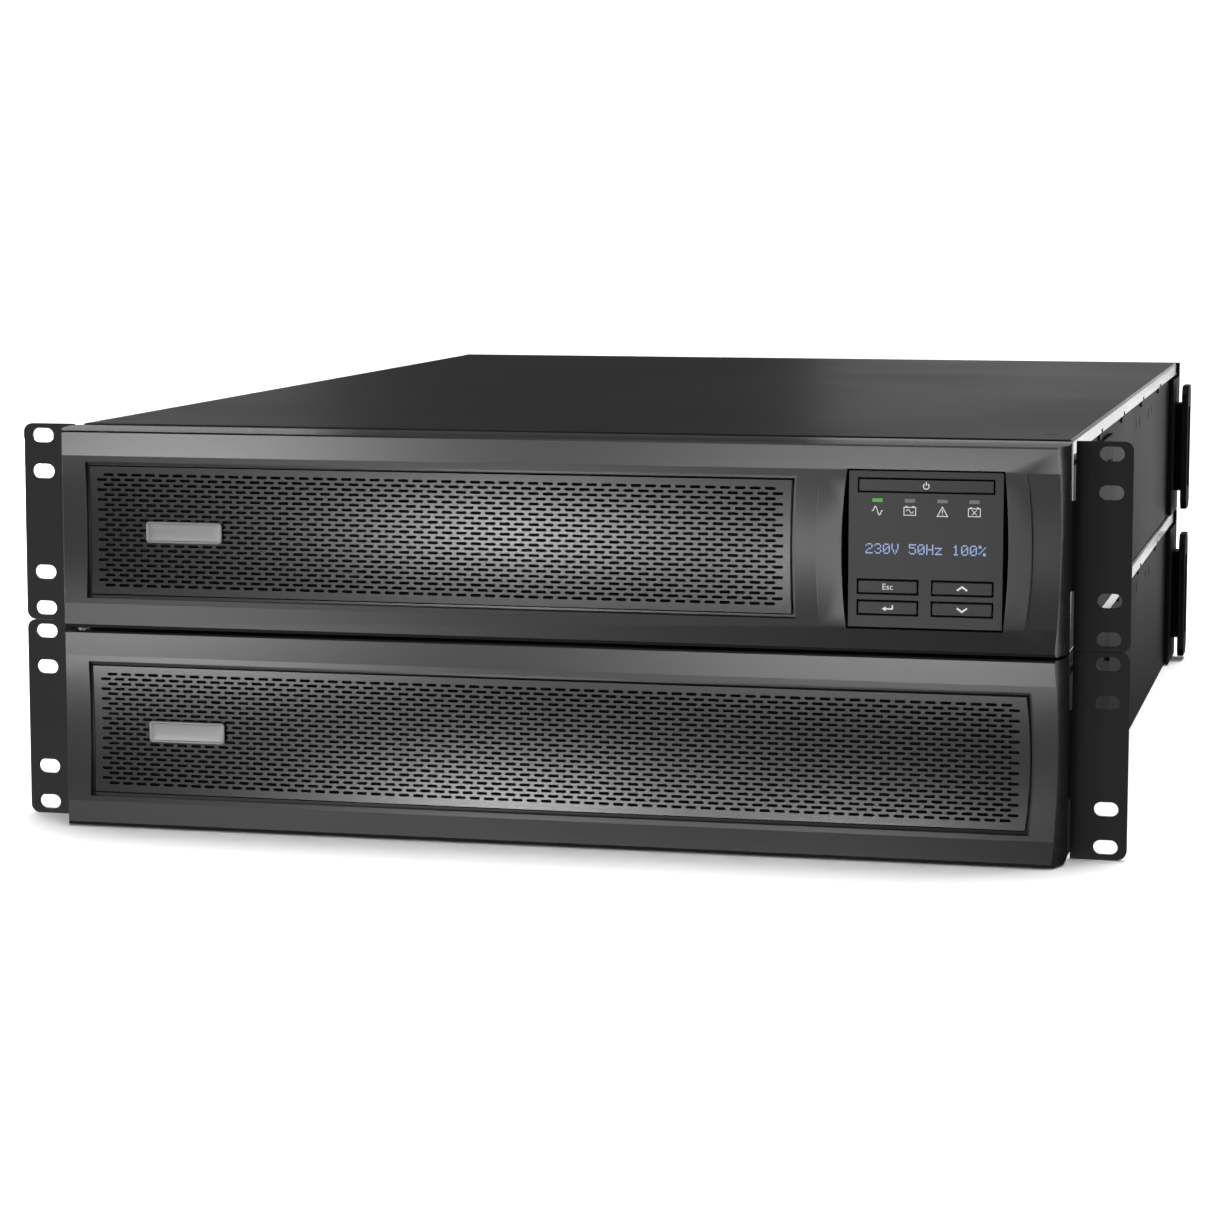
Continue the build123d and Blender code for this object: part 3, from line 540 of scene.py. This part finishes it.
def printed(name, polygons, node, y, material, proud=0.04):
    """Flat marks that stand a hair proud of a face."""
    bm = bmesh.new()
    for polygon in polygons:
        bm.faces.new([bm.verts.new(at(p[0], y - proud, p[1], UNIT_H)) for p in polygon])
    bmesh.ops.recalc_face_normals(bm, faces=bm.faces)
    made = bmesh.ops.extrude_face_region(bm, geom=list(bm.faces))
    moved = [v for v in made["geom"] if isinstance(v, bmesh.types.BMVert)]
    bmesh.ops.translate(bm, verts=moved, vec=(0, proud * 0.8 * MM, 0))
    bmesh.ops.recalc_face_normals(bm, faces=bm.faces)
    mesh = bpy.data.meshes.new(name)
    bm.to_mesh(mesh)
    bm.free()
    return add_piece(name, mesh, node, material)


def middle_of(node):
    lo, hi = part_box(node)
    return (lo[0] + hi[0]) / 2 / MM, ((lo[2] + hi[2]) / 2 - UNIT_H) / MM


def face_y(node):
    return (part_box(node)[0][1] - EAR_Y) / MM


def power_sign():
    x, z = middle_of("key_power")
    marks = ribbon(arc(x, z - 0.1, 1.15, 125, 415), 0.42)
    return marks + ribbon([(x, z + 1.75), (x, z + 0.1)], 0.42)


def enter_sign():
    x, z = middle_of("key_enter")
    marks = ribbon([(x + 2.1, z + 1.2), (x + 2.1, z - 0.35), (x - 1.0, z - 0.35)], 0.6)
    return marks + [[(x - 2.3, z - 0.35), (x - 0.6, z - 1.35), (x - 0.6, z + 0.65)]]


def chevron(node, way):
    x, z = middle_of(node)
    return ribbon([(x - 2.1, z - 0.7 * way), (x, z + 0.8 * way), (x + 2.1, z - 0.7 * way)], 0.75)


def sine_sign(x, z):
    wave = [(x - 1.7 + 3.4 * i / 24, z + 1.75 * math.sin(math.tau * i / 24)) for i in range(25)]
    lead = ribbon([(x - 2.3, z), (x - 1.7, z)], 0.35) + ribbon([(x + 1.7, z), (x + 2.3, z)], 0.35)
    return ribbon(wave, 0.38) + lead


def battery_outline(x, z):
    w, h = 2.4, 1.6
    case = [(x - w, z - h), (x + w, z - h), (x + w, z + h), (x - w, z + h)]
    marks = ribbon(case, 0.34, closed=True)
    for dx in (-1.4, 1.4):
        marks += ribbon([(x + dx - 0.45, z + h + 0.35), (x + dx + 0.45, z + h + 0.35)], 0.4)
    return marks


def wave_battery_sign(x, z):
    wave = [(x - 1.5 + 3.0 * i / 16, z + 0.75 * math.sin(math.tau * i / 16)) for i in range(17)]
    return battery_outline(x, z) + ribbon(wave, 0.3)


def cross_battery_sign(x, z):
    rising = ribbon([(x - 1.0, z - 1.0), (x + 1.0, z + 1.0)], 0.3)
    falling = ribbon([(x - 1.0, z + 1.0), (x + 1.0, z - 1.0)], 0.3)
    return battery_outline(x, z) + rising + falling


def warning_sign(x, z):
    triangle = [(x - 2.1, z - 1.8), (x + 2.1, z - 1.8), (x, z + 2.0)]
    stroke = ribbon([(x, z + 0.8), (x, z - 0.5)], 0.36)
    dot = ribbon([(x, z - 0.9), (x, z - 1.25)], 0.36)
    return ribbon(triangle, 0.36, closed=True) + stroke + dot


DOT_ROWS = {
    "1": "00100 01100 00100 00100 00100 00100 01110", "0": "01110 10001 10011 10101 11001 10001 01110",
    "2": "01110 10001 00001 00110 01000 10000 11111", "3": "01110 10001 00001 00110 00001 10001 01110",
    "5": "11111 10000 11110 00001 00001 10001 01110", "V": "10001 10001 10001 10001 01010 01010 00100",
    "%": "11000 11001 00010 00100 01000 10011 00011", "H": "10001 10001 10001 11111 10001 10001 10001",
    "z": "00000 00000 11111 00010 00100 01000 11111", " ": "00000 00000 00000 00000 00000 00000 00000",
}
STATUS = "230V 50Hz 100%"
STATUS_X, STATUS_Z, STATUS_W, STATUS_H = 135.2, 40.8, 49.2, 4.3
SIGN_INSET, SIGN_DROP = 2.1, 4.3  # the outer signs in from the lights' ends, and all below the lights' middle
SIGN_SHARES = (0.0, 0.336, 0.672, 1.0)  # the signs' places along the row of lights
FIRST_LIGHT_W = 5.0


def display_line(x, z, width, height):
    """A plain status line in dots, as such displays show."""
    step = width / (len(STATUS) * 6 - 1)
    rise = height / 7
    dots = []
    for place, letter in enumerate(STATUS):
        for r, row in enumerate(DOT_ROWS[letter].split()):
            for c, lit in enumerate(row):
                if lit == "1":
                    left, low = x + (place * 6 + c) * step, z + height - (r + 1) * rise
                    w, h = step * 0.86, rise * 0.86
                    dots.append([(left, low), (left + w, low), (left + w, low + h), (left, low + h)])
    return dots


def key_label():
    """The word on the escape key, as flat type."""
    curve = bpy.data.curves.new("esc_type", "FONT")
    curve.body = "Esc"
    curve.size = 1.0
    curve.align_x, curve.align_y = "CENTER", "CENTER"
    holder = bpy.data.objects.new("esc_type", curve)
    mesh = bpy.data.meshes.new_from_object(holder)
    bpy.data.objects.remove(holder)
    x, z = middle_of("key_esc")
    size = 3.5
    spots = [(x + size * v.co.x, z + size * v.co.y) for v in mesh.vertices]
    return [[spots[i] for i in p.vertices] for p in mesh.polygons]


def display_module():
    plate_y = face_y("pod_panel")
    key_y = face_y("key_esc")
    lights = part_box("pod_leds")
    left, right = lights[0][0] / MM + SIGN_INSET, lights[1][0] / MM - SIGN_INSET
    spots = [left + (right - left) * share for share in SIGN_SHARES]
    z = middle_of("pod_leds")[1] - SIGN_DROP
    signs = (sine_sign, wave_battery_sign, warning_sign, cross_battery_sign)
    marks = [m for sign, x in zip(signs, spots) for m in sign(x, z)]
    printed("status_signs", marks, "pod_panel", plate_y, PRINT_WITH_PAINTED_GLOW)
    dots = display_line(STATUS_X, STATUS_Z, STATUS_W, STATUS_H)
    printed("display_dots", dots, "pod_panel", plate_y, DOTS)
    printed("power_sign", power_sign(), "key_power", key_y, PRINT_WITH_PAINTED_GLOW)
    printed("enter_sign", enter_sign(), "key_enter", key_y, PRINT_WITH_PAINTED_GLOW)
    printed("up_sign", chevron("key_up", 1), "key_up", key_y, PRINT_WITH_PAINTED_GLOW)
    printed("down_sign", chevron("key_down", -1), "key_down", key_y, PRINT_WITH_PAINTED_GLOW)
    printed("esc_sign", key_label(), "key_esc", key_y, PRINT_WITH_PAINTED_GLOW)


def lights_piece():
    """The four light pipes, the first of them lit."""
    mesh = cleaned("pod_leds")
    piece = add_piece("pod_leds_shell", mesh, "pod_leds", LED_OFF_FAINT_PAINTED_GLOW)
    mesh.materials.append(LED_ON)
    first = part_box("pod_leds")[0][0] + FIRST_LIGHT_W * MM
    for polygon in mesh.polygons:
        polygon.material_index = 1 if polygon.center.x < first else 0
    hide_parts("pod_leds")


# ---- stage

FLOOR_HALF, FLOOR_GAP = 14, 0.0002


def area_light(name, place, target, size, power):
    data = bpy.data.lights.new(name, "AREA")
    data.shape = "RECTANGLE"
    data.size, data.size_y = size
    data.energy = power
    light = bpy.data.objects.new(name, data)
    light.location = place
    light.rotation_euler = (Vector(target) - Vector(place)).to_track_quat("-Z", "Y").to_euler()
    light.visible_camera = False
    bpy.context.collection.objects.link(light)


def sky():
    """A white surround that the camera sees, and that leaves the light on the object to the lamps."""
    world = bpy.data.worlds.new("studio")
    bpy.context.scene.world = world
    world.use_nodes = True
    world.node_tree.nodes["Background"].inputs[0].default_value = (1, 1, 1, 1)
    world.node_tree.nodes["Background"].inputs[1].default_value = 1.05
    world.cycles_visibility.diffuse = False
    world.cycles_visibility.glossy = False


def ground():
    reach = FLOOR_HALF
    corners = [(-reach, -reach, 0), (reach, -reach, 0), (reach, reach, 0), (-reach, reach, 0)]
    floor = mesh_from("floor", corners, [[0, 1, 2, 3]])
    material, tree, shader = new_material("floor_white")
    tree.links.new(mix_colours(tree, noise(tree, 3.0), grey(0.86), grey(0.9)), shader.inputs["Base Color"])
    shader.inputs["Roughness"].default_value = 0.9
    shader.inputs["Specular IOR Level"].default_value = 0.1
    floor.materials.append(material)
    plane = bpy.data.objects.new("floor", floor)
    plane.location.z = cad_bounds[0][2] - FLOOR_GAP
    plane.visible_diffuse = False
    plane.visible_glossy = False
    plane.visible_shadow = False
    bpy.context.collection.objects.link(plane)
    only_floor = bpy.data.collections.new("floor_receivers")
    only_floor.objects.link(plane)
    data = bpy.data.lights.new("floor_wash", "SUN")
    data.energy = 4.8
    data.angle = math.radians(36)
    wash = bpy.data.objects.new("floor_wash", data)
    wash.rotation_euler = (math.radians(-12), math.radians(3), 0)
    bpy.context.collection.objects.link(wash)
    wash.light_linking.receiver_collection = only_floor


def stage():
    sky()
    ground()
    front = Vector((0, EAR_Y - 0.03, 0.085))
    # each: degrees left of straight ahead, elevation, distance, width, height, watts
    lamps = {
        "low_left": (29, -21, 1.5, 0.28, 0.12, 2.8),
        "high_left": (27, 17, 1.5, 0.34, 0.12, 2.0),
        "mid_left": (27, 9, 1.5, 0.3, 0.08, 0.5),
        "low_spot": (15.5, -5, 1.5, 0.1, 0.07, 1.5),
        "right_mid": (4, -3, 1.5, 0.05, 0.05, 0.8),
        "low_right": (2.5, -26, 1.5, 0.4, 0.12, 2.8),
        "high_fill": (-30, 58, 2.2, 1.6, 1.2, 9.0),
        "right_side": (-123, 5, 1.9, 0.3, 0.8, 3.6),
        "front_left_fill": (66, 0, 2.0, 1.0, 0.8, 9.0),
        "front_right_fill": (-58, 2, 2.0, 0.8, 0.8, 9.0),
        "top_fill": (180, 58, 2.4, 1.6, 0.8, 9.0),
        "left_fill": (100, 0, 2.0, 1.6, 0.16, 34.0),
        "back_fill": (148, 0, 2.4, 1.2, 0.16, 75.0),
    }
    for name, (side, rise, reach, width, height, power) in lamps.items():
        a, b = math.radians(side), math.radians(rise)
        way = Vector((-math.sin(a) * math.cos(b), -math.cos(a) * math.cos(b), math.sin(b)))
        area_light(name, front + way * reach, front, (width, height), power)
    # panels behind, which are mirrored in the top and the right-hand side
    area_light("rear_top", (-0.55, EAR_Y + 3.0, 0.42), (0, EAR_Y, 0.2), (2.6, 0.45), 0.8)
    area_light("rear_top_right", (0.0, EAR_Y + 3.0, 0.42), (0, EAR_Y, 0.2), (0.8, 0.45), 1.0)
    area_light("rear_top_left", (-1.35, EAR_Y + 3.0, 0.68), (0, EAR_Y, 0.2), (0.5, 0.2), 0.5)
    area_light("rear_side", (0.62, EAR_Y + 3.0, -0.02), (0.2, EAR_Y, 0.1), (0.6, 0.5), 1.7)


LENS_MM, SENSOR_MM = 101.1, 36.0
CAMERA_PLACE = (0.35026, -1.394, 0.27671)  # from the middle of the ears' front plane, at the underside
CAMERA_DOWN, CAMERA_LEFT = 0.1233, 0.2317


def camera():
    data = bpy.data.cameras.new("camera")
    data.lens = LENS_MM
    data.sensor_width = SENSOR_MM
    data.clip_end = 60
    view = bpy.data.objects.new("camera", data)
    view.location = (CAMERA_PLACE[0], EAR_Y + CAMERA_PLACE[1], CAMERA_PLACE[2])
    view.rotation_euler = (math.pi / 2 - CAMERA_DOWN, 0, CAMERA_LEFT)
    bpy.context.collection.objects.link(view)
    bpy.context.scene.camera = view


for node, item in frame["nodes"].items():
    item.data.materials.clear()
    item.data.materials.append(LOOKS[SLOT_OF[node]])
for node, width in EDGES.items():
    made = refined(node, width, MATERIALS.get(node))
    if node.startswith("cover"):
        shiny_lips(made)
badge_piece("badge_ups")
badge_piece("badge_battery")
perforated("grille_ups", bow=-0.8, columns=47, first=-193.1, pitch=6.273, base=UNIT_H)
perforated("grille_battery", bow=1.8, columns=63, first=-193.0, pitch=6.237, base=0.0)
display_module()
lights_piece()
stage()
camera()
bpy.context.scene.view_settings.view_transform = "Standard"
